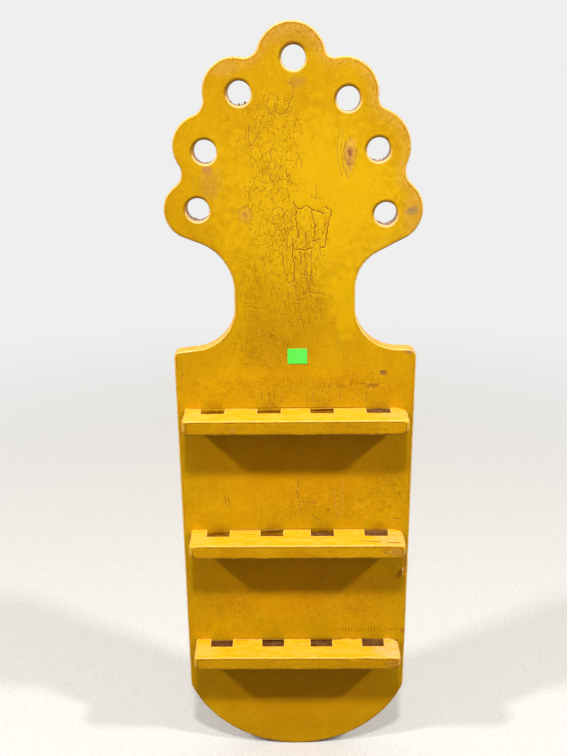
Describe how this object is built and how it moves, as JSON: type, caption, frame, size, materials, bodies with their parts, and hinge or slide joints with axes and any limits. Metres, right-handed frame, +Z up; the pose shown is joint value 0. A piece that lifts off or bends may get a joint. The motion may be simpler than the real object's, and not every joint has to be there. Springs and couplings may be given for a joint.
{
  "type": "wall spoon rack",
  "caption": "Hanging wooden spoon rack: a scalloped, pierced crest on a tall board with a rounded foot, and shallow shelves notched at the back to hold spoons.",
  "frame": {"origin": "centre of the hanging hole on the back face of the board", "axes": "+X to the rack's right as its front is looked at, +Y out of the back towards the wall, +Z up"},
  "size_m": [0.2468, 0.0504, 0.7923],
  "materials": {
    "board_paint": "worn mustard paint over softwood, crackled and rubbed through at the edges",
    "shelf_paint": "worn mustard paint over softwood, rubbed along the front edge",
    "screw_steel": "dulled steel",
    "sticker_paper": "matt fluorescent green paper"
  },
  "bodies": {
    "root": {"back_board": "board_paint", "top_shelf": "shelf_paint", "middle_shelf": "shelf_paint", "bottom_shelf": "shelf_paint", "shelf_screws": "screw_steel", "price_sticker": "sticker_paper"}
  },
  "joints": []
}
